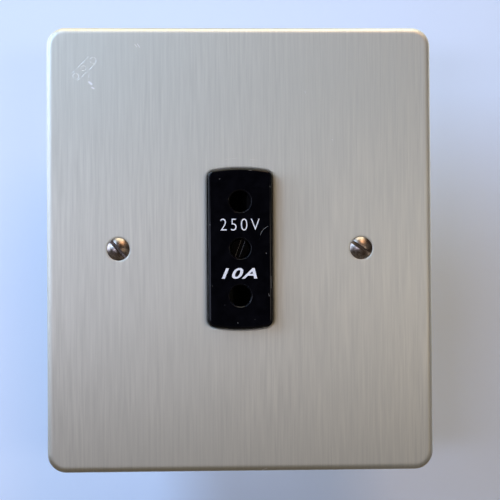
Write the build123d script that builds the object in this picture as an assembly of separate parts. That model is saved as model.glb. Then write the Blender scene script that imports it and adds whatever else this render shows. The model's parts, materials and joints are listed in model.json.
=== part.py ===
from build123d import *
from math import radians, sin
import os

# Two-pole wall socket for a round flush box: face block, shutter, contacts, support frame and cover plate.
# Millimetres. +Z is up, +X is to the right as seen from the room, and -Y points into the room.
# The wall plane is y = 0, and the origin is the middle of the two box screws.
# A depth is a value of y: the larger one lies nearer the wall.

# Cover plate: a pressed tray of thin sheet
PLATE_WIDTH = 78.5
PLATE_HEIGHT = 90.5
PLATE_DEPTH = 4.0
PLATE_SHEET = 1.2
PLATE_CORNER = 3.8
PLATE_EDGE_ROUND = 1.15
WINDOW_GAP = 0.25

# Plate screws with raised countersunk heads, and their bushes in the frame
PLATE_SCREW_SPACING = 49.4
PLATE_SCREW_RADIUS = 1.25
PLATE_SCREW_TIP = 4.6
PLATE_SCREW_HEAD_RADIUS = 2.3
PLATE_SCREW_DOME = 0.8
PLATE_SCREW_SLOT_WIDTH = 0.7
PLATE_SCREW_SLOT_DEPTH = 0.75
PLATE_SCREW_SLOT_ANGLES = {"left": -48.0, "right": -35.0}
PLATE_SCREW_HOLE_RADIUS = 1.5
BUSH_NECK_RADIUS = 2.5
BUSH_BARREL_RADIUS = 3.2
BUSH_BARREL_LENGTH = 4.0

# Support frame
FRAME_WIDTH = 70.0
FRAME_HEIGHT = 76.0
FRAME_SHEET = 1.2
FRAME_CORNER_CUT = 15.0
FRAME_CORNER_ROUND = 4.0
FRAME_WINDOW_GAP = 0.2
BOX_SCREW_SPACING = 60.0
BOX_SLOT_WIDTH = 4.5
BOX_SLOT_LENGTH = 8.0
BEAD_OFFSET = 17.5
BEAD_LENGTH = 46.0
BEAD_WIDTH = 4.4
BEAD_HEIGHT = 0.8
BEAD_EDGE_CHAMFER = 0.35
LIP_HEIGHT = 1.1
LIP_LENGTH = 44.0

# Face block
FACE_WIDTH = 12.9
FACE_HEIGHT = 32.3
FACE_PROUD = 2.7
FACE_END_RISE = 0.65
FACE_CORNER = 1.3
FACE_EDGE_ROUND = 0.5
PIN_PITCH = 19.0
PIN_HOLE_RADIUS = 2.15
PIN_HOLE_CHAMFER = 0.2
CENTRE_HOLE_RADIUS = 2.1
CENTRE_HOLE_CHAMFER = 0.12
CENTRE_SEAT_DEPTH = 3.6

# Flange and skirt behind the face block
FLANGE_WIDTH = 26.0
FLANGE_HEIGHT = 36.0
FLANGE_CORNER = 3.0
FLANGE_PLATE_GAP = 0.3
SKIRT_WIDTH = 22.0
SKIRT_HEIGHT = 30.0
SKIRT_CORNER = 2.0
CHAMBER_DEPTH = 5.2
BOSS_RADIUS = 2.9
SKIRT_WALL = 1.5
SKIRT_CORE_DEPTH = 3.9
PEG_RADIUS = 0.9
PEG_LENGTH = 1.3
PEG_GAP = 0.05

# Shutter: a spring-returned rotor with two ramped blades
SHUTTER_TURN = 32.0
SHUTTER_GAP = 0.3
SHUTTER_BORE_GAP = 0.08
BLADE_WIDTH = 5.1
BLADE_REACH = 12.1
BLADE_LIP = 0.6
RAMP_START_RADIUS = 6.7
HUB_RADIUS = 5.2
HUB_WALL = 0.8
HUB_FLOOR = 1.9
SPRING_WIRE_RADIUS = 0.22
SPRING_COIL_RADIUS = 3.65
SPRING_TURNS = 2.5
SPRING_LEG = 3.6
SPRING_GAP = 0.25

# Contact retainer
RETAINER_SHEET = 1.6
RETAINER_RECESS = 0.8
RETAINER_PIN_HOLE_RADIUS = 2.35

# Base moulding
BASE_WIDTH = 26.0
BASE_HEIGHT = 36.0
BASE_CORNER = 3.0
BASE_DEPTH = 28.5
BASE_SKIRT_GAP = 0.2
BASE_REAR_WALL = 3.5
BASE_EDGE_CHAMFER = 0.7
BASE_WALL = 1.8
BASE_CORE_FLOOR = 2.0
BASE_CORE_CORNER = 1.2
BARRIER_WIDTH = 2.2
BARRIER_HEIGHT = 2.0
BARRIER_CHAMFER = 0.4
EAR_WIDTH = 13.0
EAR_HEIGHT = 50.0
EAR_THICKNESS = 4.0
EAR_CORNER = 3.0
EAR_EDGE_CHAMFER = 0.6
WELL_GAP = 0.2

# Contacts: a split sleeve with a tunnel terminal behind it
CONTACT_FRONT_GAP = 0.3
SLEEVE_RADIUS = 3.0
SLEEVE_BORE_RADIUS = 2.02
SLEEVE_LENGTH = 9.2
SLEEVE_SLOT_WIDTH = 0.8
SLEEVE_SLOT_LENGTH = 7.6
SLEEVE_SLOT_ANGLES = (45, 135)
SLEEVE_BORE_LENGTH = 8.4
SLEEVE_MOUTH_CHAMFER = 0.4
GROOVE_RADIUS = 2.7
GROOVE_OFFSET = 2.4
RING_WIRE_RADIUS = 0.35
RING_OPENING = 50.0
RING_GAP = 0.03
TERMINAL_SIDE = 7.4
TERMINAL_CHAMFER = 0.6
WIRE_HOLE_RADIUS = 1.4
WIRE_HOLE_OFFSET = 6.5
WIRE_ENTRY_RADIUS = 1.7
WIRE_ENTRY_CHAMFER = 0.6

# Terminal screws
TERMINAL_SCREW_RADIUS = 1.5
TERMINAL_SCREW_LENGTH = 5.2
TERMINAL_SCREW_LIFT = 0.8
TERMINAL_HEAD_RADIUS = 2.7
TERMINAL_HEAD_HEIGHT = 1.7
TERMINAL_HEAD_GAP = 0.4
TERMINAL_MOUTH_CHAMFER = 0.5
TERMINAL_SLOT_WIDTH = 0.8
TERMINAL_SLOT_DEPTH = 0.8
TERMINAL_SLOT_ANGLES = {"upper": 20.0, "lower": 75.0}

# Centre screw and its moulded-in insert
CENTRE_SCREW_RADIUS = 1.2
CENTRE_SCREW_LENGTH = 16.0
CENTRE_SCREW_HEAD_RADIUS = 1.95
CENTRE_SCREW_HEAD_HEIGHT = 1.5
CENTRE_SCREW_SLOT_WIDTH = 0.8
CENTRE_SCREW_SLOT_DEPTH = 0.7
CENTRE_SCREW_SLOT_ANGLE = 70.0
CENTRE_SCREW_GAP = 0.25
INSERT_RADIUS = 2.5
INSERT_LENGTH = 8.0
INSERT_FLANGE_RADIUS = 3.3
INSERT_FLANGE = 0.8

# Screws and square nuts that hold the base to the frame
BODY_SCREW_SPACING = 43.0
BODY_SCREW_RADIUS = 1.3
BODY_SCREW_HOLE_RADIUS = 1.45
BODY_SCREW_HEAD_RADIUS = 2.3
BODY_SCREW_TIP = 4.6
BODY_SCREW_SLOT_WIDTH = 0.65
BODY_SCREW_SLOT_DEPTH = 0.55
BODY_SCREW_SLOT_ANGLES = {"upper": 15.0, "lower": 110.0}
BODY_NUT_SIDE = 5.0
BODY_NUT_HEIGHT = 2.0
BODY_NUT_GAP = 0.1

# Fits shared by every screw, and how round wire is drawn
THREAD_GAP = 0.05
SEAT_GAP = 0.04
CUT_MARGIN = 1.0
WIRE_SIDES = 8

# Depths worked out from the sizes above
PLATE_FRONT = -PLATE_DEPTH
PLATE_INSIDE = PLATE_FRONT + PLATE_SHEET
FACE_FRONT = PLATE_FRONT - FACE_PROUD
FRAME_FRONT = -FRAME_SHEET
FLANGE_FRONT = PLATE_INSIDE + FLANGE_PLATE_GAP
CHAMBER_FRONT = FLANGE_FRONT + FRAME_SHEET
CENTRE_SCREW_SEAT = FACE_FRONT + CENTRE_SEAT_DEPTH
CHAMBER_BACK = CHAMBER_FRONT + CHAMBER_DEPTH
BOSS_BACK = CHAMBER_BACK + RETAINER_RECESS
SHUTTER_FRONT = CHAMBER_FRONT + SHUTTER_GAP
SHUTTER_BACK = CHAMBER_BACK - SHUTTER_GAP
RETAINER_BACK = CHAMBER_BACK + RETAINER_SHEET
CONTACT_FRONT = RETAINER_BACK + CONTACT_FRONT_GAP
SLEEVE_BACK = CONTACT_FRONT + SLEEVE_LENGTH
WELL_BACK = BASE_DEPTH - BASE_REAR_WALL
WIRE_DEPTH = WELL_BACK - WIRE_HOLE_OFFSET
INSERT_BACK = RETAINER_BACK + INSERT_LENGTH
CENTRE_SCREW_TIP = CENTRE_SCREW_SEAT + CENTRE_SCREW_LENGTH

# Places shared by several pieces
SIDES = {"left": -1, "right": 1}
LEVELS = {"upper": 1, "lower": -1}


def view_plane(depth):
    """The plane at one depth, drawn on as seen from the room: X to the right and Z up."""
    return Plane(origin=(0, depth, 0), x_dir=(1, 0, 0), z_dir=(0, -1, 0))


def slab(outline, back, front):
    """An outline seen from the room, made solid from one depth forward to another."""
    return extrude(view_plane(back) * outline, back - front)


def rod(radius, back, front, x=0, z=0):
    """A round bar along Y."""
    return slab(Pos(x, z) * Circle(radius), back, front)


def cone(back_radius, front_radius, back, front, x=0, z=0):
    """A round taper along Y."""
    length = back - front
    taper = Cone(back_radius, front_radius, length, align=(Align.CENTER, Align.CENTER, Align.MIN))
    return Pos(x, back, z) * Rot(90, 0, 0) * taper


def edges_at(solid, depth):
    """The edges of a solid that lie wholly at one depth."""
    return solid.edges().filter_by_position(Axis.Y, depth - 1e-4, depth + 1e-4)


def wire_section(path, radius):
    """The section of a round wire at the start of its path, drawn with a few flats."""
    return Plane(origin=path @ 0, z_dir=path % 0) * RegularPolygon(radius, WIRE_SIDES)


def driver_slot(width, length, depth, front, angle, x=0, z=0):
    """The cut that a screwdriver blade fits, turned to its angle."""
    outline = Pos(x, z) * Rot(0, 0, angle) * Rectangle(length, width)
    return slab(outline, front + depth, front - CUT_MARGIN)


def face_outline(gap=0.0):
    """The face block's outline: straight sides, slightly bowed ends and rounded corners."""
    half_width = FACE_WIDTH / 2
    tip = FACE_HEIGHT / 2
    shoulder = tip - FACE_END_RISE
    left = Line((-half_width, -shoulder), (-half_width, shoulder))
    top = ThreePointArc((-half_width, shoulder), (0, tip), (half_width, shoulder))
    right = Line((half_width, shoulder), (half_width, -shoulder))
    bottom = ThreePointArc((half_width, -shoulder), (0, -tip), (-half_width, -shoulder))
    outline = make_face([left, top, right, bottom])
    outline = fillet(outline.vertices(), FACE_CORNER)
    return offset(outline, gap) if gap else outline


def make_cover_plate():
    """A tray of sheet with a window for the face block and two countersunk holes."""
    tray = slab(RectangleRounded(PLATE_WIDTH, PLATE_HEIGHT, PLATE_CORNER), 0, PLATE_FRONT)
    tray = fillet(edges_at(tray, PLATE_FRONT), PLATE_EDGE_ROUND)
    inner_width = PLATE_WIDTH - 2 * PLATE_SHEET
    inner_height = PLATE_HEIGHT - 2 * PLATE_SHEET
    inner_corner = PLATE_CORNER - PLATE_SHEET
    tray -= slab(RectangleRounded(inner_width, inner_height, inner_corner), 0, PLATE_INSIDE)
    tray -= slab(face_outline(WINDOW_GAP), PLATE_INSIDE + CUT_MARGIN, PLATE_FRONT - CUT_MARGIN)
    for side in SIDES.values():
        x = side * PLATE_SCREW_SPACING / 2
        tray -= rod(PLATE_SCREW_HOLE_RADIUS, PLATE_INSIDE + CUT_MARGIN, PLATE_FRONT - CUT_MARGIN, x)
        tray -= countersink(PLATE_SCREW_HEAD_RADIUS, PLATE_SCREW_HOLE_RADIUS, PLATE_FRONT, x)
    return tray


def countersink(head_radius, hole_radius, front, x=0, z=0):
    """The 90 degree seat of a countersunk head whose rim lies at one depth."""
    mouth = head_radius + SEAT_GAP
    return cone(hole_radius, mouth, front + mouth - hole_radius, front, x, z)


def countersunk_screw(head_radius, shank_radius, front, tip, x=0, z=0):
    """A screw with a 90 degree head whose rim lies at one depth."""
    neck = front + head_radius - shank_radius
    screw = cone(shank_radius, head_radius, neck, front, x, z) + rod(shank_radius, tip, neck, x, z)
    return chamfer(edges_at(screw, tip), shank_radius / 4)


def make_plate_screw(name):
    """A raised countersunk screw: a low dome over the cone, with a slot across it."""
    x = SIDES[name] * PLATE_SCREW_SPACING / 2
    screw = countersunk_screw(
        PLATE_SCREW_HEAD_RADIUS, PLATE_SCREW_RADIUS, PLATE_FRONT, PLATE_SCREW_TIP, x
    )
    dome_radius = (PLATE_SCREW_HEAD_RADIUS**2 + PLATE_SCREW_DOME**2) / (2 * PLATE_SCREW_DOME)
    top = PLATE_FRONT - PLATE_SCREW_DOME
    ball = Pos(x, top + dome_radius, 0) * Sphere(dome_radius)
    screw += ball & rod(PLATE_SCREW_HEAD_RADIUS, PLATE_FRONT, top - CUT_MARGIN, x)
    angle = PLATE_SCREW_SLOT_ANGLES[name]
    length = 2 * PLATE_SCREW_HEAD_RADIUS + CUT_MARGIN
    screw -= driver_slot(PLATE_SCREW_SLOT_WIDTH, length, PLATE_SCREW_SLOT_DEPTH, top, angle, x)
    return screw


def make_plate_bush(name):
    """A threaded bush riveted into the frame: a neck through the sheet and a barrel behind it."""
    x = SIDES[name] * PLATE_SCREW_SPACING / 2
    bush = rod(BUSH_NECK_RADIUS, 0, FRAME_FRONT, x) + rod(BUSH_BARREL_RADIUS, BUSH_BARREL_LENGTH, 0, x)
    hole_radius = PLATE_SCREW_RADIUS + THREAD_GAP
    return bush - rod(hole_radius, BUSH_BARREL_LENGTH + CUT_MARGIN, FRAME_FRONT - CUT_MARGIN, x)


def frame_blank():
    """The frame's outline: a rectangle with its corners cut at 45 degrees."""
    half_width = FRAME_WIDTH / 2
    half_height = FRAME_HEIGHT / 2
    corners = []
    for x_sign, z_sign in ((1, 1), (-1, 1), (-1, -1), (1, -1)):
        on_side = (x_sign * half_width, z_sign * (half_height - FRAME_CORNER_CUT))
        on_end = (x_sign * (half_width - FRAME_CORNER_CUT), z_sign * half_height)
        corners += [on_side, on_end] if x_sign == z_sign else [on_end, on_side]
    outline = make_face(Polyline(*corners, close=True))
    return fillet(outline.vertices(), FRAME_CORNER_ROUND)


def make_support_frame():
    """A pressing with the body's window, radial box slots, screw holes, two beads and two turned-up lips."""
    frame = slab(frame_blank(), 0, FRAME_FRONT)
    for side in SIDES.values():
        lip = Pos(side * (FRAME_WIDTH - FRAME_SHEET) / 2, 0) * Rectangle(FRAME_SHEET, LIP_LENGTH)
        frame += slab(lip, FRAME_FRONT, FRAME_FRONT - LIP_HEIGHT)
    ridge_outline = SlotOverall(BEAD_LENGTH, BEAD_WIDTH)
    groove_outline = SlotOverall(BEAD_LENGTH - 2 * FRAME_SHEET, BEAD_WIDTH - 2 * FRAME_SHEET)
    for side in SIDES.values():
        place = Pos(side * BEAD_OFFSET, 0) * Rot(0, 0, 90)
        ridge = slab(place * ridge_outline, FRAME_FRONT, FRAME_FRONT - BEAD_HEIGHT)
        frame += chamfer(edges_at(ridge, FRAME_FRONT - BEAD_HEIGHT), BEAD_EDGE_CHAMFER)
        frame -= slab(place * groove_outline, 0, -BEAD_HEIGHT)
    window_width = SKIRT_WIDTH + 2 * FRAME_WINDOW_GAP
    window_height = SKIRT_HEIGHT + 2 * FRAME_WINDOW_GAP
    openings = RectangleRounded(window_width, window_height, SKIRT_CORNER + FRAME_WINDOW_GAP)
    for level in LEVELS.values():
        place = Pos(0, level * BOX_SCREW_SPACING / 2) * Rot(0, 0, 90)
        openings += place * SlotOverall(BOX_SLOT_LENGTH, BOX_SLOT_WIDTH)
        openings += Pos(0, level * BODY_SCREW_SPACING / 2) * Circle(BODY_SCREW_HOLE_RADIUS)
    for side in SIDES.values():
        openings += Pos(side * PLATE_SCREW_SPACING / 2, 0) * Circle(BUSH_NECK_RADIUS + SEAT_GAP)
    frame -= slab(openings, CUT_MARGIN, FRAME_FRONT - CUT_MARGIN)
    for level in LEVELS.values():
        z = level * BODY_SCREW_SPACING / 2
        frame -= countersink(BODY_SCREW_HEAD_RADIUS, BODY_SCREW_HOLE_RADIUS, FRAME_FRONT, 0, z)
    return frame


def chamber_outline():
    """The shutter's pocket: each blade's sector from its rest stop to its open stop, about the hub."""
    tip = BLADE_REACH + SHUTTER_GAP
    rest_edge = blade_stop()
    half_angle = degrees_of(BLADE_WIDTH / 2, BLADE_REACH)
    open_edge = tip * sin(radians(SHUTTER_TURN + half_angle)) + SHUTTER_GAP
    sector = Circle(tip) & Pos((rest_edge + open_edge) / 2, tip / 2) * Rectangle(open_edge - rest_edge, tip)
    return sector + Rot(0, 0, 180) * sector + Circle(HUB_RADIUS + SHUTTER_GAP)


def degrees_of(half_width, radius):
    """The angle in degrees that a half width spans at a radius."""
    return Vector(radius, 0).get_angle(Vector((radius**2 - half_width**2) ** 0.5, half_width))


def blade_stop():
    """Where the wall that stops the upper blade at rest stands, across X."""
    return -BLADE_WIDTH / 2 - SHUTTER_GAP


def core_limits():
    """The sides and ends of the hollow moulded beside the upper blade's pocket: left, right, low, high."""
    left = -SKIRT_WIDTH / 2 + SKIRT_WALL
    right = blade_stop() - SKIRT_WALL
    low = HUB_RADIUS + SHUTTER_GAP + SKIRT_WALL
    high = SKIRT_HEIGHT / 2 - SKIRT_WALL
    return left, right, low, high


def core_outline():
    """The two hollows that keep the skirt's walls even, one beside each blade's pocket."""
    left, right, low, high = core_limits()
    hollow = Pos((left + right) / 2, (low + high) / 2) * Rectangle(right - left, high - low)
    return hollow + Rot(0, 0, 180) * hollow


def peg_outline(radius):
    """A round in the middle of each hollow, for the pegs that the retainer locates on."""
    left, right, low, high = core_limits()
    peg = Pos((left + right) / 2, (low + high) / 2) * Circle(radius)
    return peg + Rot(0, 0, 180) * peg


def make_socket_front():
    """The black face block with its flange, the shutter's pocket behind it and the rotor's boss."""
    block = slab(face_outline(), FLANGE_FRONT, FACE_FRONT)
    block = fillet(edges_at(block, FACE_FRONT), FACE_EDGE_ROUND)
    front = block + slab(
        RectangleRounded(FLANGE_WIDTH, FLANGE_HEIGHT, FLANGE_CORNER), FRAME_FRONT, FLANGE_FRONT
    )
    front += slab(RectangleRounded(SKIRT_WIDTH, SKIRT_HEIGHT, SKIRT_CORNER), CHAMBER_BACK, FRAME_FRONT)
    front -= slab(chamber_outline(), CHAMBER_BACK + CUT_MARGIN, CHAMBER_FRONT)
    front += rod(BOSS_RADIUS, BOSS_BACK, CHAMBER_FRONT)
    core_front = CHAMBER_BACK - SKIRT_CORE_DEPTH
    front -= slab(core_outline(), CHAMBER_BACK + CUT_MARGIN, core_front)
    front += slab(peg_outline(PEG_RADIUS), CHAMBER_BACK + PEG_LENGTH, core_front)
    for level in LEVELS.values():
        z = level * PIN_PITCH / 2
        front -= rod(PIN_HOLE_RADIUS, CHAMBER_FRONT + CUT_MARGIN, FACE_FRONT - CUT_MARGIN, 0, z)
        mouth = PIN_HOLE_RADIUS + PIN_HOLE_CHAMFER
        front -= cone(PIN_HOLE_RADIUS, mouth, FACE_FRONT + PIN_HOLE_CHAMFER, FACE_FRONT, 0, z)
    front -= rod(CENTRE_HOLE_RADIUS, CENTRE_SCREW_SEAT, FACE_FRONT - CUT_MARGIN)
    mouth = CENTRE_HOLE_RADIUS + CENTRE_HOLE_CHAMFER
    front -= cone(CENTRE_HOLE_RADIUS, mouth, FACE_FRONT + CENTRE_HOLE_CHAMFER, FACE_FRONT)
    shank_hole = CENTRE_SCREW_RADIUS + CENTRE_SCREW_GAP
    return front - rod(shank_hole, BOSS_BACK + CUT_MARGIN, CENTRE_SCREW_SEAT - CUT_MARGIN)


def ramp_cut():
    """What is taken off one blade to leave its 45 degree ramp, rising towards +X."""
    low = -BLADE_WIDTH / 2
    back = SHUTTER_BACK - BLADE_LIP
    front = SHUTTER_FRONT - CUT_MARGIN
    rise = back - front
    edge = low - CUT_MARGIN
    section = Polyline((edge, front), (edge, back), (low, back), (low + rise, front), close=True)
    wedge = extrude(Plane.XY * make_face(section), BLADE_REACH)
    return Pos(0, 0, RAMP_START_RADIUS) * wedge


def make_shutter():
    """A rotor on the boss: two blades that cover the pin holes, each with a ramp for the pin's tip."""
    blades = Rectangle(BLADE_WIDTH, 2 * BLADE_REACH) & Circle(BLADE_REACH)
    rotor = slab(blades + Circle(HUB_RADIUS), SHUTTER_BACK, SHUTTER_FRONT)
    cut = ramp_cut()
    rotor -= cut
    rotor -= Rot(0, 180, 0) * cut
    bore = BOSS_RADIUS + SHUTTER_BORE_GAP
    rotor -= rod(bore, SHUTTER_BACK + CUT_MARGIN, SHUTTER_FRONT - CUT_MARGIN)
    cup = HUB_RADIUS - HUB_WALL
    floor = SHUTTER_FRONT + HUB_FLOOR
    rotor -= rod(cup, SHUTTER_BACK + CUT_MARGIN, floor)
    return rotor - slab(leg_outline(-SPRING_COIL_RADIUS), SHUTTER_BACK + CUT_MARGIN, floor)


def leg_outline(z):
    """The room that one straight leg of the spring takes, seen from the room."""
    length = SPRING_LEG + CUT_MARGIN
    return Pos(length / 2, z) * Rectangle(length, 2 * (SPRING_WIRE_RADIUS + SPRING_GAP))


def make_shutter_spring():
    """A torsion coil about the boss: one leg in the hub's notch, the other in the retainer's recess."""
    first_turn = SHUTTER_FRONT + HUB_FLOOR + SPRING_WIRE_RADIUS + SPRING_GAP
    last_turn = (CHAMBER_BACK + BOSS_BACK) / 2
    height = last_turn - first_turn
    coil = Helix(height / SPRING_TURNS, height, SPRING_COIL_RADIUS)
    start_tangent = coil % 0
    end_tangent = coil % 1
    first_leg = Line((coil @ 0) - start_tangent * SPRING_LEG, coil @ 0)
    last_leg = Line(coil @ 1, (coil @ 1) + end_tangent * SPRING_LEG)
    path = Wire([first_leg.edge(), coil.edge(), last_leg.edge()])
    spring = sweep(wire_section(path, SPRING_WIRE_RADIUS), path, is_frenet=True)
    return Pos(0, first_turn, 0) * Rot(-90, 0, 0) * Rot(0, 0, 90) * spring


def make_contact_retainer():
    """A plate that closes the pocket, with pin holes and a recess for the coil's fixed end."""
    plate = slab(RectangleRounded(SKIRT_WIDTH, SKIRT_HEIGHT, SKIRT_CORNER), RETAINER_BACK, CHAMBER_BACK)
    recess = Circle(HUB_RADIUS - HUB_WALL) + leg_outline(SPRING_COIL_RADIUS)
    plate -= slab(recess, BOSS_BACK, CHAMBER_BACK - CUT_MARGIN)
    plate -= rod(CENTRE_SCREW_RADIUS + CENTRE_SCREW_GAP, RETAINER_BACK + CUT_MARGIN, CHAMBER_BACK)
    plate -= slab(peg_outline(PEG_RADIUS + PEG_GAP), RETAINER_BACK + CUT_MARGIN, CHAMBER_BACK - CUT_MARGIN)
    for level in LEVELS.values():
        z = level * PIN_PITCH / 2
        plate -= rod(RETAINER_PIN_HOLE_RADIUS, RETAINER_BACK + CUT_MARGIN, CHAMBER_BACK - CUT_MARGIN, 0, z)
    return plate


def make_socket_base():
    """The rear moulding: ears, a pocket for the skirt, two contact wells and their wire and screw holes."""
    outline = RectangleRounded(BASE_WIDTH, BASE_HEIGHT, BASE_CORNER)
    body = slab(outline, BASE_DEPTH, 0)
    body = chamfer(edges_at(body, BASE_DEPTH), BASE_EDGE_CHAMFER)
    ears = slab(RectangleRounded(EAR_WIDTH, EAR_HEIGHT, EAR_CORNER), EAR_THICKNESS, 0)
    body += chamfer(edges_at(ears, EAR_THICKNESS), EAR_EDGE_CHAMFER)
    body += barrier()
    pocket_width = SKIRT_WIDTH + 2 * BASE_SKIRT_GAP
    pocket_height = SKIRT_HEIGHT + 2 * BASE_SKIRT_GAP
    pocket = RectangleRounded(pocket_width, pocket_height, SKIRT_CORNER + BASE_SKIRT_GAP)
    body -= slab(pocket, RETAINER_BACK, -CUT_MARGIN)
    body -= base_cores()
    well_side = TERMINAL_SIDE + 2 * WELL_GAP
    head_hole = TERMINAL_HEAD_RADIUS + TERMINAL_HEAD_GAP
    mouth = head_hole + TERMINAL_MOUTH_CHAMFER
    for level in LEVELS.values():
        z = level * PIN_PITCH / 2
        body -= slab(Pos(0, z) * Rectangle(well_side, well_side), WELL_BACK, RETAINER_BACK - CUT_MARGIN)
        body -= rod(head_hole, BASE_DEPTH + CUT_MARGIN, WELL_BACK - CUT_MARGIN, 0, z)
        body -= cone(mouth, head_hole, BASE_DEPTH, BASE_DEPTH - TERMINAL_MOUTH_CHAMFER, 0, z)
        body -= wire_entry(level)
        nut_z = level * BODY_SCREW_SPACING / 2
        nut_pocket = BODY_NUT_SIDE + 2 * BODY_NUT_GAP
        body -= rod(BODY_SCREW_RADIUS + THREAD_GAP, EAR_THICKNESS + CUT_MARGIN, -CUT_MARGIN, 0, nut_z)
        nut_outline = Pos(0, nut_z) * Rectangle(nut_pocket, nut_pocket)
        body -= slab(nut_outline, EAR_THICKNESS + CUT_MARGIN, EAR_THICKNESS - BODY_NUT_HEIGHT)
    body -= rod(INSERT_FLANGE_RADIUS + SEAT_GAP, RETAINER_BACK + INSERT_FLANGE, RETAINER_BACK - CUT_MARGIN)
    body -= rod(INSERT_RADIUS + SEAT_GAP, INSERT_BACK, RETAINER_BACK)
    return body - rod(CENTRE_SCREW_RADIUS + CENTRE_SCREW_GAP, CENTRE_SCREW_TIP + CUT_MARGIN, RETAINER_BACK)


def barrier():
    """The insulating rib that stands across the rear face between the two terminals."""
    length = BASE_WIDTH - 2 * BASE_EDGE_CHAMFER
    rib = slab(Rectangle(length, BARRIER_WIDTH), BASE_DEPTH + BARRIER_HEIGHT, BASE_DEPTH - BASE_WALL)
    return chamfer(edges_at(rib, BASE_DEPTH + BARRIER_HEIGHT), BARRIER_CHAMFER)


def base_cores():
    """The four hollows moulded from the rear beside the contact wells."""
    inner = TERMINAL_SIDE / 2 + WELL_GAP + BASE_WALL
    outer = BASE_WIDTH / 2 - BASE_WALL
    low = BARRIER_WIDTH / 2
    high = BASE_HEIGHT / 2 - BASE_WALL
    outlines = Sketch()
    for side in SIDES.values():
        for level in LEVELS.values():
            place = Pos(side * (inner + outer) / 2, level * (low + high) / 2)
            outlines += place * RectangleRounded(outer - inner, high - low, BASE_CORE_CORNER)
    return slab(outlines, BASE_DEPTH + CUT_MARGIN, RETAINER_BACK + BASE_CORE_FLOOR)


def wire_entry(level):
    """The funnel and hole that lead one wire through the end wall to its terminal."""
    end = BASE_HEIGHT / 2
    inside = PIN_PITCH / 2 + TERMINAL_SIDE / 2
    hole = Pos(0, WIRE_DEPTH, inside) * Cylinder(
        WIRE_ENTRY_RADIUS, end - inside + CUT_MARGIN, align=(Align.CENTER, Align.CENTER, Align.MIN)
    )
    funnel = Pos(0, WIRE_DEPTH, end - WIRE_ENTRY_CHAMFER) * Cone(
        WIRE_ENTRY_RADIUS,
        WIRE_ENTRY_RADIUS + WIRE_ENTRY_CHAMFER,
        WIRE_ENTRY_CHAMFER,
        align=(Align.CENTER, Align.CENTER, Align.MIN),
    )
    entry = hole + funnel
    return entry if level > 0 else mirror(entry, Plane.XY)


def make_contact(name):
    """A brass contact: a split sleeve for the pin, and a square block with the wire's tunnel."""
    sleeve = rod(SLEEVE_RADIUS, SLEEVE_BACK, CONTACT_FRONT)
    groove_front = CONTACT_FRONT + GROOVE_OFFSET
    groove_back = groove_front + 2 * RING_WIRE_RADIUS
    groove = Circle(SLEEVE_RADIUS + CUT_MARGIN) - Circle(GROOVE_RADIUS)
    sleeve -= slab(groove, groove_back, groove_front)
    square = chamfer(Rectangle(TERMINAL_SIDE, TERMINAL_SIDE).vertices(), TERMINAL_CHAMFER)
    contact = sleeve + slab(square, WELL_BACK, SLEEVE_BACK)
    contact -= rod(SLEEVE_BORE_RADIUS, CONTACT_FRONT + SLEEVE_BORE_LENGTH, CONTACT_FRONT - CUT_MARGIN)
    mouth = SLEEVE_BORE_RADIUS + SLEEVE_MOUTH_CHAMFER
    contact -= cone(SLEEVE_BORE_RADIUS, mouth, CONTACT_FRONT + SLEEVE_MOUTH_CHAMFER, CONTACT_FRONT)
    slot_back = CONTACT_FRONT + SLEEVE_SLOT_LENGTH
    for angle in SLEEVE_SLOT_ANGLES:
        bar = Rot(0, 0, angle) * Rectangle(2 * (SLEEVE_RADIUS + CUT_MARGIN), SLEEVE_SLOT_WIDTH)
        contact -= slab(bar, slot_back, CONTACT_FRONT - CUT_MARGIN)
    contact -= Pos(0, WIRE_DEPTH, 0) * Cylinder(WIRE_HOLE_RADIUS, TERMINAL_SIDE + CUT_MARGIN)
    contact -= rod(TERMINAL_SCREW_RADIUS + THREAD_GAP, WELL_BACK + CUT_MARGIN, WIRE_DEPTH)
    return Pos(0, 0, LEVELS[name] * PIN_PITCH / 2) * contact


def make_contact_ring(name):
    """An open ring of spring wire in the sleeve's groove."""
    radius = GROOVE_RADIUS + RING_WIRE_RADIUS + RING_GAP
    depth = CONTACT_FRONT + GROOVE_OFFSET + RING_WIRE_RADIUS
    path = CenterArc((0, 0, 0), radius, RING_OPENING / 2, 360 - RING_OPENING)
    ring = sweep(wire_section(path, RING_WIRE_RADIUS), path)
    return Pos(0, depth, LEVELS[name] * PIN_PITCH / 2) * Rot(90, 0, 0) * ring


def make_terminal_screw(name):
    """A slotted cheese-head screw that enters its terminal from the rear."""
    z = LEVELS[name] * PIN_PITCH / 2
    under_head = WELL_BACK + TERMINAL_SCREW_LIFT
    top = under_head + TERMINAL_HEAD_HEIGHT
    tip = under_head - TERMINAL_SCREW_LENGTH
    screw = rod(TERMINAL_HEAD_RADIUS, top, under_head, 0, z)
    screw = chamfer(edges_at(screw, top), TERMINAL_HEAD_HEIGHT / 6)
    shank = rod(TERMINAL_SCREW_RADIUS, under_head, tip, 0, z)
    screw += chamfer(edges_at(shank, tip), TERMINAL_SCREW_RADIUS / 4)
    length = 2 * TERMINAL_HEAD_RADIUS + CUT_MARGIN
    slot = Pos(0, z) * Rot(0, 0, TERMINAL_SLOT_ANGLES[name]) * Rectangle(length, TERMINAL_SLOT_WIDTH)
    return screw - slab(slot, top + CUT_MARGIN, top - TERMINAL_SLOT_DEPTH)


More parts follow.
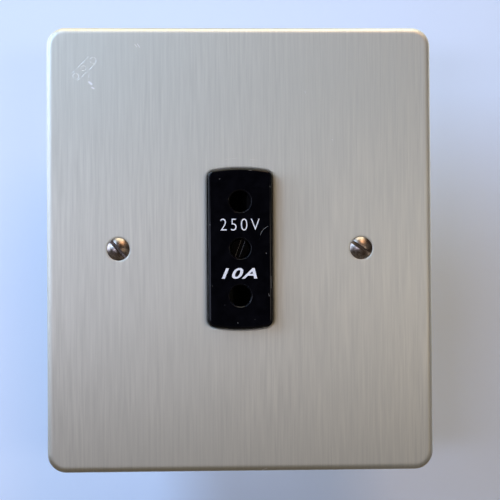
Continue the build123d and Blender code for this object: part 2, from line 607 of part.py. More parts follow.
def make_centre_screw():
    """The slotted screw in the middle of the face, which clamps the front and the base on the frame."""
    head_front = CENTRE_SCREW_SEAT - CENTRE_SCREW_HEAD_HEIGHT
    head = rod(CENTRE_SCREW_HEAD_RADIUS, CENTRE_SCREW_SEAT, head_front)
    head = chamfer(edges_at(head, head_front), CENTRE_SCREW_HEAD_HEIGHT / 6)
    shank = rod(CENTRE_SCREW_RADIUS, CENTRE_SCREW_TIP, CENTRE_SCREW_SEAT)
    screw = head + chamfer(edges_at(shank, CENTRE_SCREW_TIP), CENTRE_SCREW_RADIUS / 4)
    length = 2 * CENTRE_SCREW_HEAD_RADIUS + CUT_MARGIN
    return screw - driver_slot(
        CENTRE_SCREW_SLOT_WIDTH, length, CENTRE_SCREW_SLOT_DEPTH, head_front, CENTRE_SCREW_SLOT_ANGLE
    )


def make_centre_insert():
    """The flanged brass bush in the base that takes the centre screw."""
    insert = rod(INSERT_RADIUS, INSERT_BACK, RETAINER_BACK)
    insert += rod(INSERT_FLANGE_RADIUS, RETAINER_BACK + INSERT_FLANGE, RETAINER_BACK)
    hole_radius = CENTRE_SCREW_RADIUS + THREAD_GAP
    return insert - rod(hole_radius, INSERT_BACK + CUT_MARGIN, RETAINER_BACK - CUT_MARGIN)


def make_body_screw(name):
    """A flat countersunk screw, flush in the frame, that holds the base."""
    z = LEVELS[name] * BODY_SCREW_SPACING / 2
    screw = countersunk_screw(BODY_SCREW_HEAD_RADIUS, BODY_SCREW_RADIUS, FRAME_FRONT, BODY_SCREW_TIP, 0, z)
    length = 2 * BODY_SCREW_HEAD_RADIUS + CUT_MARGIN
    angle = BODY_SCREW_SLOT_ANGLES[name]
    depth = BODY_SCREW_SLOT_DEPTH
    return screw - driver_slot(BODY_SCREW_SLOT_WIDTH, length, depth, FRAME_FRONT, angle, 0, z)


def make_body_nut(name):
    """The square nut captive in the rear of an ear."""
    z = LEVELS[name] * BODY_SCREW_SPACING / 2
    outline = Pos(0, z) * (Rectangle(BODY_NUT_SIDE, BODY_NUT_SIDE) - Circle(BODY_SCREW_RADIUS + THREAD_GAP))
    return slab(outline, EAR_THICKNESS, EAR_THICKNESS - BODY_NUT_HEIGHT)


def make_all():
    """Every piece of the socket by name."""
    pieces = {
        "cover_plate": make_cover_plate(),
        "support_frame": make_support_frame(),
        "socket_front": make_socket_front(),
        "shutter": make_shutter(),
        "shutter_spring": make_shutter_spring(),
        "contact_retainer": make_contact_retainer(),
        "socket_base": make_socket_base(),
        "centre_screw": make_centre_screw(),
        "centre_insert": make_centre_insert(),
    }
    for name in SIDES:
        pieces[f"plate_screw_{name}"] = make_plate_screw(name)
        pieces[f"plate_bush_{name}"] = make_plate_bush(name)
    for name in LEVELS:
        pieces[f"contact_{name}"] = make_contact(name)
        pieces[f"contact_ring_{name}"] = make_contact_ring(name)
        pieces[f"terminal_screw_{name}"] = make_terminal_screw(name)
        pieces[f"body_screw_{name}"] = make_body_screw(name)
        pieces[f"body_nut_{name}"] = make_body_nut(name)
    return pieces


os.makedirs("parts", exist_ok=True)
for node, piece in make_all().items():
    export_step(piece, f"parts/{node}.step")
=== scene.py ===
import json
import math

import bpy
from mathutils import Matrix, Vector


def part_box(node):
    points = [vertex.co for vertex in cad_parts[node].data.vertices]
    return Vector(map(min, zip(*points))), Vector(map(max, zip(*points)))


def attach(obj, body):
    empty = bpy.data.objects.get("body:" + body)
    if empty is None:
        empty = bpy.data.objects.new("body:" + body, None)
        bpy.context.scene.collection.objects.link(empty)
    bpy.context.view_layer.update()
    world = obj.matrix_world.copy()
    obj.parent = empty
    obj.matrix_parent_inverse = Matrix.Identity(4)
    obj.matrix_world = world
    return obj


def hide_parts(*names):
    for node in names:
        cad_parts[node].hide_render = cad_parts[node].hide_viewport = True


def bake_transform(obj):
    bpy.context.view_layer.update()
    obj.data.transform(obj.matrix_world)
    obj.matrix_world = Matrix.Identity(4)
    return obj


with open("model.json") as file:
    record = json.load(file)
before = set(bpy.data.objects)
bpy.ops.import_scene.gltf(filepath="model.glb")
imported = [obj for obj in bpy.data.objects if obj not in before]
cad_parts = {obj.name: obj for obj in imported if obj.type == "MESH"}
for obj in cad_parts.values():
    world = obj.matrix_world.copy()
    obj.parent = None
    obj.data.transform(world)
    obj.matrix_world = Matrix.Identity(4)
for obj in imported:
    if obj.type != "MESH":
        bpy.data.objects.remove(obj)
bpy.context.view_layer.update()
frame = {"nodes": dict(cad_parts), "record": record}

# Finishes, print, wear, light and camera for the wall socket. +Z is up and -Y points into the room.
# Lengths are in millimetres, and MM turns them into Blender's metres.
MM = 0.001

# The photograph's frame is 500 pixels square, and its lens is 1000 of them long
IMAGE_PIXELS = 500
FOCAL_PIXELS = 1000
SENSOR_WIDTH = 36.0
CAMERA_PLACE = (-3.56, -207.39, -2.99)
CAMERA_ANGLES = (90.763, 0.337, -1.563)

# What is printed on the face: name, text, middle, size, and the figures' slant, boldness and spacing
PRINTS = (
    ("rating_volts", "250V", (-0.05, 4.8), (7.9, 2.4), 0.0, -0.014, 1.32),
    ("rating_amps", "10A", (-0.2, -5.0), (7.1, 2.15), 0.28, 0.02, 1.15),
)
PRINT_THICKNESS = 0.03
PRINT_DRAFT_DEPTH = 0.5
INK = (0.80, 0.82, 0.86)
INK_THIN = (0.42, 0.43, 0.46)
INK_THIN_SPAN = (0.55, 0.8)
INK_ROUGHNESS = 0.45

# Stage: the surface just behind the socket, the floor below it and the dark card behind the camera
BACKDROP_DEPTH = 31.0
BACKDROP_COLOUR = (0.69, 0.80, 0.98)
FLOOR_HEIGHT = -75.0
FLOOR_COLOUR = (0.54, 0.57, 0.60)
STAGE_REACH = 3000.0
STAGE_FADE = (250.0, 620.0)
STAGE_TONE_DROP = 0.985
STAGE_ROUGHNESS = 0.9
STAGE_SPECULAR = 0.1
CARD_PLACE = (5.0, -300.0, 4.5)
CARD_SIZE = (96.0, 144.0)
CARD_COLOUR = (0.02, 0.016, 0.014)

# World: its light from below and above and the climb between them, and what the camera and mirrors see
WORLD_LOW = (0.18, 0.155, 0.13)
WORLD_HIGH = (0.05, 0.05, 0.05)
WORLD_HORIZON = (-0.35, 0.6)
WORLD_SEEN = (0.76, 0.80, 0.84)
WORLD_FAR_SIDE = 0.7

# Lamps, all the same way off: name, azimuth, elevation, width, height, power in watts and colour
LAMP_DISTANCE = 760.0
LAMPS = (
    ("window", -44.0, 33.0, 190.0, 560.0, 4.30, (0.43, 0.65, 1.0)),
    ("side_window", -72.0, 14.0, 400.0, 500.0, 3.10, (0.61, 0.73, 1.0)),
    ("low_left", -25.0, -1.0, 260.0, 110.0, 0.80, (0.68, 0.72, 1.0)),
    ("low_right", 25.0, -1.0, 260.0, 110.0, 0.48, (1.0, 0.85, 0.69)),
    ("ceiling", 21.0, 44.0, 260.0, 260.0, 1.35, (1.0, 0.59, 0.33)),
    ("overhead", 0.0, 78.0, 600.0, 600.0, 4.00, (1.0, 0.95, 0.72)),
    ("rear_left", -136.0, 24.0, 400.0, 400.0, 4.00, (0.95, 0.97, 1.0)),
    ("rear_right", 130.0, 17.0, 400.0, 400.0, 3.00, (1.0, 0.97, 0.92)),
)

# Plate: the tones of its grain, its stains and its bare metal, then how far each one goes
PLATE_DARK = (0.562, 0.545, 0.468)
PLATE_LIGHT = (0.658, 0.64, 0.548)
PLATE_STAIN = (0.60, 0.59, 0.51)
PLATE_BARE = (0.88, 0.88, 0.88)
PLATE_GRAIN_SPAN = (0.34, 0.66)
PLATE_STAIN_SPAN = (0.35, 0.7)
PLATE_STAIN_SHARE = 0.6
PLATE_SCUFF_SHARE = 0.36
PLATE_BREAK_SHARES = (0.1, 1.0)
PLATE_DENT_SHARE = 0.8
PLATE_DUST_SHARE = 0.6
PLATE_DUST_PITCH = 9.0
PLATE_DUST_RADIUS = 0.09
PLATE_ROUGHNESS = (0.54, 0.48)
PLATE_ANISOTROPY = 0.6
PLATE_GRAIN_DEPTH = 0.004
PLATE_MARK_DEPTH = -0.03
PLATE_EDGE_RADIUS = 0.8

# Wear on the plate, as start, end and half width, or middle, radius and half width, in the front view
PLATE_SCUFFS = (
    ((-33.9, 35.9), (-30.6, 39.2), 0.10),
    ((-32.8, 34.4), (-29.2, 37.8), 0.11),
    ((-30.5, 35.9), (-30.6, 34.5), 0.10),
    ((-3.0, 18.2), (-0.5, 18.45), 0.06),
    ((2.0, 18.2), (3.7, 18.05), 0.06),
)
PLATE_RINGS = (
    ((-29.7, 38.5), 0.62, 0.15),
    ((-31.6, 36.9), 0.50, 0.13),
    ((-33.2, 35.2), 0.60, 0.15),
)
PLATE_DENTS = (
    ((-30.5, 34.0), (-30.0, 33.6), 0.30),
    ((-29.9, 32.9), (-29.5, 32.7), 0.20),
    ((-21.2, 41.7), (-20.8, 41.2), 0.09),
    ((-20.7, 41.8), (-20.2, 41.1), 0.09),
    ((13.4, 32.1), (13.5, 31.7), 0.06),
    ((18.9, 22.2), (19.0, 22.1), 0.10),
    ((4.3, -45.0), (5.2, -44.6), 0.16),
)

# Face block: its black, its nicks and its rims, lightened as wear and as painted highlight, then how far each
# one goes
FACE_DARK = (0.0012, 0.0012, 0.0022)
FACE_LIGHT = (0.003, 0.003, 0.0045)
FACE_NICK = (0.17, 0.165, 0.15)
FACE_RIM_WEAR_AND_HIGHLIGHT = (0.28, 0.28, 0.30)
FACE_TONE_SPAN = (0.4, 0.8)
FACE_HAZE_SPAN = (0.3, 0.8)
FACE_DUST_SPAN = (0.5, 0.62)
FACE_DUST_PITCH = 1.9
FACE_DUST_RADIUS = 0.07
FACE_RIM_RADIUS = 0.06
FACE_RIM_SHARES = (0.1, 0.6)
FACE_ROUGHNESS = (0.09, 0.16)
FACE_SPECULAR = 0.13
FACE_WAVE_DEPTH = 0.003
FACE_MARK_DEPTH = -0.02
FACE_EDGE_RADIUS = 0.14
FACE_SCRATCHES = (
    ((4.06, 2.74), (4.2, 3.2), 0.05),
    ((4.2, 3.2), (4.44, 3.62), 0.05),
    ((4.44, 3.62), (4.95, 4.1), 0.045),
    ((4.95, 4.1), (5.57, 4.45), 0.04),
    ((6.0, 12.5), (6.1, 12.3), 0.07),
    ((-4.2, 14.0), (-4.0, 14.0), 0.05),
    ((-6.42, 14.6), (-6.3, 15.0), 0.05),
    ((-6.3, 15.0), (-5.75, 15.4), 0.05),
    ((1.8, 15.72), (2.3, 15.68), 0.05),
    ((-6.1, 4.9), (-6.08, 4.7), 0.07),
    ((5.15, -0.9), (5.2, -1.05), 0.07),
    ((6.15, -5.6), (6.15, -8.0), 0.05),
    ((5.6, -9.1), (5.75, -9.6), 0.06),
    ((-0.6, -14.8), (-0.55, -15.0), 0.06),
)

# Dull mouldings by slot: dark and light tone, roughness and specular level, then what they share
MOULDINGS = {
    "shutter_moulding": ((0.002, 0.002, 0.002), (0.005, 0.005, 0.005), 0.50, 0.15),
    "insulating_board": ((0.10, 0.05, 0.025), (0.19, 0.10, 0.05), 0.55, 0.4),
    "base_moulding": ((0.012, 0.011, 0.011), (0.028, 0.026, 0.024), 0.42, 0.4),
}
MOULDING_MOTTLE_SPAN = (0.35, 0.7)
MOULDING_FLOW_SPAN = (0.3, 0.7)
MOULDING_ROUGHNESS_STEPS = (-0.06, 0.08)
MOULDING_MOTTLE_DEPTH = 0.03

# Metals by slot: dark and light tone, roughness and the tone's waves per millimetre, then what they share
METALS = {
    "nickel_screw": ((0.13, 0.10, 0.08), (0.42, 0.37, 0.33), 0.29, 0.7),
    "zinc_sheet": ((0.46, 0.47, 0.48), (0.62, 0.63, 0.63), 0.36, 0.6),
    "zinc_bush": ((0.50, 0.50, 0.48), (0.66, 0.66, 0.64), 0.28, 1.2),
    "spring_wire": ((0.36, 0.36, 0.37), (0.56, 0.56, 0.56), 0.25, 1.2),
    "dark_screw": ((0.003, 0.003, 0.003), (0.008, 0.007, 0.006), 0.30, 1.2),
    "brass": ((0.55, 0.38, 0.15), (0.76, 0.58, 0.28), 0.27, 1.2),
    "nickel_brass": ((0.52, 0.46, 0.34), (0.72, 0.67, 0.56), 0.24, 1.2),
    "zinc_screw": ((0.48, 0.48, 0.44), (0.66, 0.66, 0.62), 0.27, 1.2),
}
METAL_WORN = {"dark_screw": (0.66, 0.63, 0.60)}
# Painted shade and grime: nickel screws are darkened in their slots and hollows, where ambient occlusion
# finds them
METAL_HOLLOW_SHADE_AND_GRIME = {"nickel_screw": (0.05, 0.036, 0.028)}
METAL_TONE_SPAN = (0.35, 0.68)
METAL_POLISH_SPAN = (0.3, 0.7)
METAL_ROUGHNESS_STEPS = (-0.05, 0.07)
METAL_WORN_RADIUS = 0.09
METAL_HOLLOW_SHADE_REACH = 0.8
METAL_HOLLOW_ROUGHNESS = 0.5
METAL_POLISH_DEPTH = 0.004
METAL_EDGE_RADIUS = 0.06

# Marks: the share of a mark's radius or half width at full strength
SPECK_CORE = 0.5
STROKE_CORE = 0.3
RING_CORE = 0.2
BREAK_SPAN = (0.42, 0.58)
FRONT_VIEW = (1.0, 0.0, 1.0)

# Rounded edges and hollows, as Blender's Bevel and Ambient Occlusion nodes find them
BEVEL_SAMPLES = 6
EDGE_SPAN = (0.75, 0.98)
OCCLUSION_SAMPLES = 4
HOLLOW_SPAN = (0.45, 0.85)


class Nodes:
    """A node tree, with short ways to add the nodes that work out a value or a colour."""

    def __init__(self, tree):
        self.tree = tree

    def node(self, kind, **settings):
        """A new node with some of its settings changed."""
        node = self.tree.nodes.new(kind)
        for key, value in settings.items():
            setattr(node, key, value)
        return node

    def feed(self, socket, value):
        """Links an output to a socket, or sets the socket to a constant."""
        if isinstance(value, bpy.types.NodeSocket):
            self.tree.links.new(value, socket)
        else:
            socket.default_value = value

    def scaled(self, vector, factor):
        """A vector times a number, where either may be linked."""
        node = self.node("ShaderNodeVectorMath", operation="SCALE")
        self.feed(node.inputs[0], vector)
        self.feed(node.inputs["Scale"], factor)
        return node.outputs["Vector"]

    def vector(self, operation, first, second, output="Vector"):
        """One vector operation."""
        node = self.node("ShaderNodeVectorMath", operation=operation)
        self.feed(node.inputs[0], first)
        self.feed(node.inputs[1], second)
        return node.outputs[output]

    def math(self, operation, first, second):
        """One operation on numbers."""
        node = self.node("ShaderNodeMath", operation=operation)
        self.feed(node.inputs[0], first)
        self.feed(node.inputs[1], second)
        return node.outputs[0]

    def remap(self, value, low, high, to_low=0.0, to_high=1.0):
        """A value carried from one range to another, and held within it."""
        node = self.node("ShaderNodeMapRange", clamp=True)
        self.feed(node.inputs["Value"], value)
        self.feed(node.inputs["From Min"], low)
        self.feed(node.inputs["From Max"], high)
        self.feed(node.inputs["To Min"], to_low)
        self.feed(node.inputs["To Max"], to_high)
        return node.outputs["Result"]

    def blend(self, factor, first, second):
        """Mixes two colours, where either may be linked."""
        node = self.node("ShaderNodeMix", data_type="RGBA")
        self.feed(node.inputs[0], factor)
        ends = [socket for socket in node.inputs if socket.type == "RGBA"]
        for socket, value in zip(ends, (first, second)):
            self.feed(socket, value if isinstance(value, bpy.types.NodeSocket) else (*value, 1.0))
        return [socket for socket in node.outputs if socket.type == "RGBA"][0]


class Finish(Nodes):
    """A procedural material whose nodes work in millimetres, in the part's own frame."""

    def __init__(self, name):
        self.material = bpy.data.materials.new(name)
        self.material.use_nodes = True
        super().__init__(self.material.node_tree)
        self.shader = self.tree.nodes["Principled BSDF"]
        coordinates = self.node("ShaderNodeTexCoord")
        self.place = self.scaled(coordinates.outputs["Object"], 1 / MM)

    def shade(self, **values):
        """Sets or links the shader's own sockets, named with underscores for spaces."""
        for key, value in values.items():
            self.feed(self.shader.inputs[key.replace("_", " ")], value)

    def noise(self, waves, stretch=(1.0, 1.0, 1.0), detail=3.0):
        """Smooth noise from 0 to 1, with a number of waves per millimetre."""
        node = self.node("ShaderNodeTexNoise")
        self.feed(node.inputs["Vector"], self.vector("MULTIPLY", self.place, stretch))
        self.feed(node.inputs["Scale"], waves)
        self.feed(node.inputs["Detail"], detail)
        return node.outputs["Fac"]

    def specks(self, pitch, radius):
        """Small round specks about one pitch apart: 1 on them and 0 elsewhere."""
        node = self.node("ShaderNodeTexVoronoi")
        self.feed(node.inputs["Vector"], self.place)
        self.feed(node.inputs["Scale"], 1 / pitch)
        return self.remap(node.outputs["Distance"], SPECK_CORE * radius / pitch, radius / pitch, 1.0, 0.0)

    def stroke(self, start, end, half_width):
        """A thin mark between two points of the front view: 1 on it and 0 elsewhere."""
        begin = Vector((start[0], 0.0, start[1]))
        run = Vector((end[0], 0.0, end[1])) - begin
        offset = self.vector("SUBTRACT", self.vector("MULTIPLY", self.place, FRONT_VIEW), begin)
        along = self.vector("DOT_PRODUCT", offset, run / run.length_squared, "Value")
        part = self.math("MAXIMUM", self.math("MINIMUM", along, 1.0), 0.0)
        distance = self.vector("DISTANCE", offset, self.scaled(run, part), "Value")
        return self.remap(distance, STROKE_CORE * half_width, half_width, 1.0, 0.0)

    def ring(self, middle, radius, half_width):
        """A thin ring in the front view: 1 on it and 0 elsewhere."""
        flat = self.vector("MULTIPLY", self.place, FRONT_VIEW)
        distance = self.vector("DISTANCE", flat, (middle[0], 0.0, middle[1]), "Value")
        off = self.math("ABSOLUTE", self.math("SUBTRACT", distance, radius), 0.0)
        return self.remap(off, RING_CORE * half_width, half_width, 1.0, 0.0)

    def strokes(self, marks, rings=()):
        """Several strokes and rings as one mask."""
        masks = [self.stroke(*mark) for mark in marks] + [self.ring(*ring) for ring in rings]
        mask = masks[0]
        for another in masks[1:]:
            mask = self.math("MAXIMUM", mask, another)
        return mask

    def rounded(self, radius):
        """The surface's direction with its sharp edges rounded to a radius."""
        node = self.node("ShaderNodeBevel", samples=BEVEL_SAMPLES)
        self.feed(node.inputs["Radius"], radius * MM)
        return node.outputs["Normal"]

    def edges(self, radius):
        """1 on sharp edges and 0 elsewhere."""
        surface = self.node("ShaderNodeNewGeometry")
        agreement = self.vector("DOT_PRODUCT", self.rounded(radius), surface.outputs["Normal"], "Value")
        return self.remap(agreement, *EDGE_SPAN, 1.0, 0.0)

    def hollows(self, reach):
        """1 deep in slots and other hollows and 0 in the open."""
        node = self.node("ShaderNodeAmbientOcclusion", samples=OCCLUSION_SAMPLES, only_local=True)
        self.feed(node.inputs["Distance"], reach * MM)
        return self.remap(node.outputs["AO"], *HOLLOW_SPAN, 1.0, 0.0)

    def relief(self, height, depth, under=None):
        """A bump in millimetres, over another one if given."""
        node = self.node("ShaderNodeBump")
        self.feed(node.inputs["Height"], height)
        self.feed(node.inputs["Distance"], depth * MM)
        if under is not None:
            self.feed(node.inputs["Normal"], under)
        return node.outputs["Normal"]


def shade_anodised_plate(finish):
    """Brushed aluminium with a vertical grain, anodised a pale champagne, with the scuffs of its use."""
    hair = finish.noise(waves=3.6, stretch=(1.0, 1.0, 0.03), detail=2.0)
    line = finish.noise(waves=1.7, stretch=(1.0, 1.0, 0.045), detail=3.0)
    grain = finish.math("ADD", finish.math("MULTIPLY", hair, 0.5), finish.math("MULTIPLY", line, 0.5))
    colour = finish.blend(finish.remap(grain, *PLATE_GRAIN_SPAN), PLATE_DARK, PLATE_LIGHT)
    stains = finish.remap(finish.noise(waves=0.035), *PLATE_STAIN_SPAN, 0.0, PLATE_STAIN_SHARE)
    colour = finish.blend(stains, colour, PLATE_STAIN)
    breaks = finish.remap(finish.noise(waves=2.0), *BREAK_SPAN, *PLATE_BREAK_SHARES)
    scuffs = finish.math("MULTIPLY", finish.strokes(PLATE_SCUFFS, PLATE_RINGS), breaks)
    dents = finish.strokes(PLATE_DENTS)
    bare = finish.math("MULTIPLY", finish.specks(PLATE_DUST_PITCH, PLATE_DUST_RADIUS), PLATE_DUST_SHARE)
    bare = finish.math("MAXIMUM", finish.math("MULTIPLY", dents, PLATE_DENT_SHARE), bare)
    bare = finish.math("MAXIMUM", finish.math("MULTIPLY", scuffs, PLATE_SCUFF_SHARE), bare)
    surface = finish.relief(grain, PLATE_GRAIN_DEPTH, finish.rounded(PLATE_EDGE_RADIUS))
    surface = finish.relief(finish.math("MAXIMUM", scuffs, dents), PLATE_MARK_DEPTH, surface)
    finish.shade(
        Base_Color=finish.blend(bare, colour, PLATE_BARE),
        Metallic=1.0,
        Roughness=finish.remap(grain, *PLATE_GRAIN_SPAN, *PLATE_ROUGHNESS),
        Anisotropic=PLATE_ANISOTROPY,
        Normal=surface,
    )


def shade_black_moulding(finish):
    """Glossy black thermoset with fine scuffs, dust and a few bright nicks, and its sharp rims lightened,
    partly as wear and partly as a painted highlight.
    """
    haze = finish.noise(waves=0.5, detail=5.0)
    patches = finish.remap(finish.noise(waves=0.35), *FACE_DUST_SPAN)
    dust = finish.math("MULTIPLY", finish.specks(FACE_DUST_PITCH, FACE_DUST_RADIUS), patches)
    nicks = finish.math("MAXIMUM", finish.strokes(FACE_SCRATCHES), dust)
    breaks = finish.remap(finish.noise(waves=0.45), *BREAK_SPAN, *FACE_RIM_SHARES)
    # Painted highlight and wear: the sharp rims that the Bevel node finds are lightened in the colour, in
    # broken stretches
    lighter_edges = finish.math("MULTIPLY", finish.edges(FACE_RIM_RADIUS), breaks)
    colour = finish.blend(finish.remap(haze, *FACE_TONE_SPAN), FACE_DARK, FACE_LIGHT)
    colour = finish.blend(nicks, colour, FACE_NICK)
    waves = finish.noise(waves=1.4, detail=2.0)
    surface = finish.relief(waves, FACE_WAVE_DEPTH, finish.rounded(FACE_EDGE_RADIUS))
    finish.shade(
        Base_Color=finish.blend(lighter_edges, colour, FACE_RIM_WEAR_AND_HIGHLIGHT),
        Roughness=finish.remap(haze, *FACE_HAZE_SPAN, *FACE_ROUGHNESS),
        Specular_IOR_Level=FACE_SPECULAR,
        Normal=finish.relief(nicks, FACE_MARK_DEPTH, surface),
    )


def shade_dull_moulding(finish, low, high, roughness, level):
    """Dull moulded plastic with a faint mottle and flow marks."""
    mottle = finish.noise(waves=0.8, detail=5.0)
    flow = finish.noise(waves=0.25, stretch=(1.0, 1.0, 0.35), detail=2.0)
    polish = [roughness + step for step in MOULDING_ROUGHNESS_STEPS]
    finish.shade(
        Base_Color=finish.blend(finish.remap(mottle, *MOULDING_MOTTLE_SPAN), low, high),
        Roughness=finish.remap(flow, *MOULDING_FLOW_SPAN, *polish),
        Specular_IOR_Level=level,
        Normal=finish.relief(mottle, MOULDING_MOTTLE_DEPTH),
    )


def shade_metal(finish, low, high, roughness, waves, lighter_edges, hollow_shade_and_grime):
    """Plated or turned metal of changing tone and polish, with worn edges if given, and, if given, slots and
    hollows darkened by ambient occlusion as grime and painted shade.
    """
    tone = finish.noise(waves, detail=4.0)
    fine = finish.noise(waves=8.0, detail=2.0)
    colour = finish.blend(finish.remap(tone, *METAL_TONE_SPAN), low, high)
    polish = [roughness + step for step in METAL_ROUGHNESS_STEPS]
    rough = finish.remap(fine, *METAL_POLISH_SPAN, *polish)
    if lighter_edges:
        colour = finish.blend(finish.edges(METAL_WORN_RADIUS), colour, lighter_edges)
    if hollow_shade_and_grime:
        # Painted shade and grime: the colour darkens deep in slots and hollows, found by ambient occlusion,
        # and the roughness rises there
        hollow_shade_mask = finish.hollows(METAL_HOLLOW_SHADE_REACH)
        colour = finish.blend(hollow_shade_mask, colour, hollow_shade_and_grime)
        rough = finish.math("MAXIMUM", rough, finish.math("MULTIPLY", hollow_shade_mask, METAL_HOLLOW_ROUGHNESS))
    surface = finish.relief(fine, METAL_POLISH_DEPTH, finish.rounded(METAL_EDGE_RADIUS))
    finish.shade(Base_Color=colour, Metallic=1.0, Roughness=rough, Normal=surface)


def make_finishes():
    """The material of each slot in the record."""
    finishes = {name: Finish(name) for name in ("anodised_plate", "black_moulding", *MOULDINGS, *METALS)}
    shade_anodised_plate(finishes["anodised_plate"])
    shade_black_moulding(finishes["black_moulding"])
    for name, values in MOULDINGS.items():
        shade_dull_moulding(finishes[name], *values)
    for name, values in METALS.items():
        shade_metal(finishes[name], *values, METAL_WORN.get(name), METAL_HOLLOW_SHADE_AND_GRIME.get(name))
    return {name: finish.material for name, finish in finishes.items()}


def finish_frame(materials):
    """Gives each CAD node the finish of its record slot."""
    for row in frame["record"]["subparts"]:
        mesh = frame["nodes"][row["node"]].data
        mesh.materials.clear()
        mesh.materials.append(materials[row["material_slot"]])


def print_ink():
    """White ink, a little thin in places."""
    finish = Finish("print_ink")
    thin = finish.remap(finish.noise(waves=2.5, detail=4.0), *INK_THIN_SPAN)
    finish.shade(Base_Color=finish.blend(thin, INK, INK_THIN), Roughness=INK_ROUGHNESS)
    return finish.material


def lettering(name, text, slant, weight, spacing):
    """Plain figures as a mesh of any size, flat in XY."""
    curve = bpy.data.curves.new(name, "FONT")
    curve.body = text
    curve.shear = slant
    curve.offset = weight
    curve.space_character = spacing
    curve.extrude = PRINT_DRAFT_DEPTH
    source = bpy.data.objects.new(name, curve)
    bpy.context.scene.collection.objects.link(source)
    bpy.context.view_layer.update()
    mesh = bpy.data.meshes.new_from_object(source)
    bpy.data.objects.remove(source)
    return mesh


def make_print(name, text, place, size, slant, weight, spacing, ink):
    """Figures printed on the face, as a thin layer of ink."""
    mesh = lettering(name, text, slant, weight, spacing)
    face_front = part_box("socket_front")[0].y
    corners = [vertex.co for vertex in mesh.vertices]
    low = Vector([min(corner[axis] for corner in corners) for axis in range(3)])
    high = Vector([max(corner[axis] for corner in corners) for axis in range(3)])
    middle = (low + high) / 2
    for vertex in mesh.vertices:
        x, y, z = [(vertex.co[axis] - middle[axis]) / (high[axis] - low[axis]) for axis in range(3)]
        depth = face_front - (z + 0.5) * PRINT_THICKNESS * MM
        vertex.co = Vector(((x * size[0] + place[0]) * MM, depth, (y * size[1] + place[1]) * MM))
    mesh.materials.clear()
    mesh.materials.append(ink)
    piece = bpy.data.objects.new(name, mesh)
    bpy.context.scene.collection.objects.link(piece)
    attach(piece, "housing")


def make_spring(metal):
    """The shutter's spring, as a still copy of its CAD mesh in spring wire in place of the CAD node; on the
    real socket its front leg turns with the shutter, its rear leg stays and its coil twists, which this copy
    doesn't do.
    """
    mesh = frame["nodes"]["shutter_spring"].data.copy()
    mesh.materials.clear()
    mesh.materials.append(metal)
    piece = bpy.data.objects.new("shutter_coil", mesh)
    bpy.context.scene.collection.objects.link(piece)
    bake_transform(piece)
    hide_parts("shutter_spring")


def make_sheet(name, quads, material):
    """A flat stage surface of one or more rectangles."""
    mesh = bpy.data.meshes.new(name)
    corners = [Vector(corner) * MM for quad in quads for corner in quad]
    mesh.from_pydata(corners, [], [range(4 * index, 4 * index + 4) for index in range(len(quads))])
    mesh.materials.append(material)
    sheet = bpy.data.objects.new(name, mesh)
    bpy.context.scene.collection.objects.link(sheet)
    return sheet


def stage_material(name, colour, open_behind=True):
    """A plain matt surface that fades out far off for the camera, and may be clear from its rear."""
    finish = Finish(name)
    darker = tuple(STAGE_TONE_DROP * part for part in colour)
    tone = finish.noise(waves=0.01, detail=2.0)
    finish.shade(
        Base_Color=finish.blend(tone, darker, colour),
        Roughness=STAGE_ROUGHNESS,
        Specular_IOR_Level=STAGE_SPECULAR,
    )
    reach = finish.vector("LENGTH", finish.place, (0.0, 0.0, 0.0), "Value")
    seen = finish.node("ShaderNodeLightPath").outputs["Is Camera Ray"]
    clear = finish.math("MULTIPLY", finish.remap(reach, *STAGE_FADE), seen)
    if open_behind:
        side = finish.node("ShaderNodeNewGeometry")
        clear = finish.math("MAXIMUM", clear, side.outputs["Backfacing"])
    mix = finish.node("ShaderNodeMixShader")
    finish.feed(mix.inputs[0], clear)
    finish.feed(mix.inputs[1], finish.shader.outputs[0])
    finish.feed(mix.inputs[2], finish.node("ShaderNodeBsdfTransparent").outputs[0])
    finish.feed(finish.tree.nodes["Material Output"].inputs["Surface"], mix.outputs[0])
    return finish.material


def upright(left, right, low, high, depth=BACKDROP_DEPTH):
    """A rectangle that faces the room."""
    return (left, depth, low), (right, depth, low), (right, depth, high), (left, depth, high)


def make_backdrop():
    """The pale surface behind the socket; what lies straight behind the plate isn't mirrored in its rear."""
    surface = stage_material("backdrop_surface", BACKDROP_COLOUR)
    low, high = [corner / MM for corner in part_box("cover_plate")]
    reach = STAGE_REACH
    behind = [upright(low.x, high.x, low.z, high.z)]
    beside = [
        upright(-reach, low.x, FLOOR_HEIGHT, reach),
        upright(high.x, reach, FLOOR_HEIGHT, reach),
        upright(low.x, high.x, high.z, reach),
        upright(low.x, high.x, FLOOR_HEIGHT, low.z),
    ]
    for name, quads in (("backdrop_behind", behind), ("backdrop_beside", beside)):
        wall = make_sheet(name, quads, surface)
        wall.visible_shadow = False
        wall.visible_diffuse = False
        wall.visible_glossy = quads is beside


def make_floor():
    """The floor below the socket, which lights and mirrors nothing."""
    reach = STAGE_REACH
    low = FLOOR_HEIGHT
    corners = ((-reach, -reach, low), (reach, -reach, low), (reach, reach, low), (-reach, reach, low))
    floor = make_sheet("floor", [corners], stage_material("floor_surface", FLOOR_COLOUR))
    floor.visible_glossy = False
    floor.visible_diffuse = False


def make_card():
    """The dark card behind the camera, which only mirrors see."""
    wide, tall = CARD_SIZE
    left, low = CARD_PLACE[0] - wide / 2, CARD_PLACE[2] - tall / 2
    corners = upright(left, left + wide, low, low + tall, CARD_PLACE[1])
    card = make_sheet("dark_card", [corners], stage_material("card_surface", CARD_COLOUR, False))
    card.visible_camera = False
    card.visible_shadow = False
    card.visible_diffuse = False


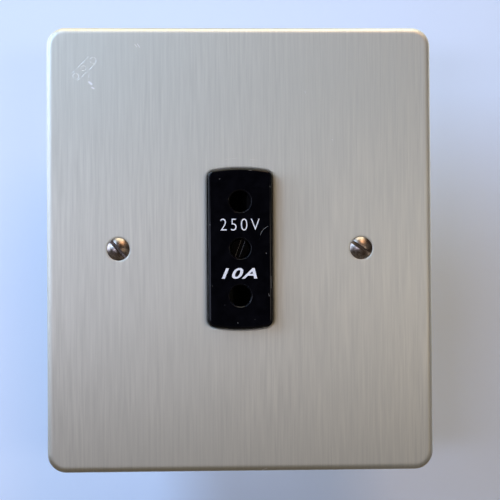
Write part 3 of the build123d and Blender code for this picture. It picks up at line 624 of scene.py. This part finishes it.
def make_world():
    """Faint light from all round, and a pale background for the camera and for what mirrors the far side."""
    world = bpy.data.worlds.new("soft_light")
    world.use_nodes = True
    sky = Nodes(world.node_tree)
    direction = sky.node("ShaderNodeSeparateXYZ")
    sky.feed(direction.inputs[0], sky.node("ShaderNodeTexCoord").outputs["Generated"])
    path = sky.node("ShaderNodeLightPath")
    far_side = sky.math("GREATER_THAN", direction.outputs["Y"], WORLD_FAR_SIDE)
    mirrored = sky.math("MULTIPLY", path.outputs["Is Glossy Ray"], far_side)
    straight = sky.math("MAXIMUM", path.outputs["Is Camera Ray"], path.outputs["Is Transmission Ray"])
    light = sky.blend(sky.remap(direction.outputs["Z"], *WORLD_HORIZON), WORLD_LOW, WORLD_HIGH)
    colour = sky.blend(sky.math("MAXIMUM", straight, mirrored), light, WORLD_SEEN)
    sky.feed(sky.tree.nodes["Background"].inputs["Color"], colour)
    bpy.context.scene.world = world


def make_lamp(name, azimuth, elevation, width, height, power, colour):
    """A soft lamp that faces the origin from a direction; azimuth 0 is straight in front."""
    lamp = bpy.data.lights.new(name, "AREA")
    lamp.shape = "RECTANGLE"
    lamp.size = width * MM
    lamp.size_y = height * MM
    lamp.energy = power
    lamp.color = colour
    turn, climb = math.radians(azimuth), math.radians(elevation)
    level = math.cos(climb)
    direction = Vector((math.sin(turn) * level, -math.cos(turn) * level, math.sin(climb)))
    holder = bpy.data.objects.new(name, lamp)
    holder.location = direction * LAMP_DISTANCE * MM
    holder.rotation_euler = direction.to_track_quat("Z", "Y").to_euler()
    holder.visible_camera = False
    bpy.context.scene.collection.objects.link(holder)


def make_camera():
    """The camera that took the photograph."""
    data = bpy.data.cameras.new("camera")
    data.sensor_width = SENSOR_WIDTH
    data.lens = SENSOR_WIDTH * FOCAL_PIXELS / IMAGE_PIXELS
    data.clip_start = MM
    camera = bpy.data.objects.new("camera", data)
    camera.location = Vector(CAMERA_PLACE) * MM
    camera.rotation_euler = [math.radians(angle) for angle in CAMERA_ANGLES]
    bpy.context.scene.collection.objects.link(camera)
    bpy.context.scene.camera = camera


make_camera()
materials = make_finishes()
finish_frame(materials)
make_spring(materials["spring_wire"])
ink = print_ink()
for line in PRINTS:
    make_print(*line, ink)
make_floor()
make_backdrop()
make_card()
make_world()
for lamp in LAMPS:
    make_lamp(*lamp)
bpy.context.scene.view_settings.view_transform = "Standard"
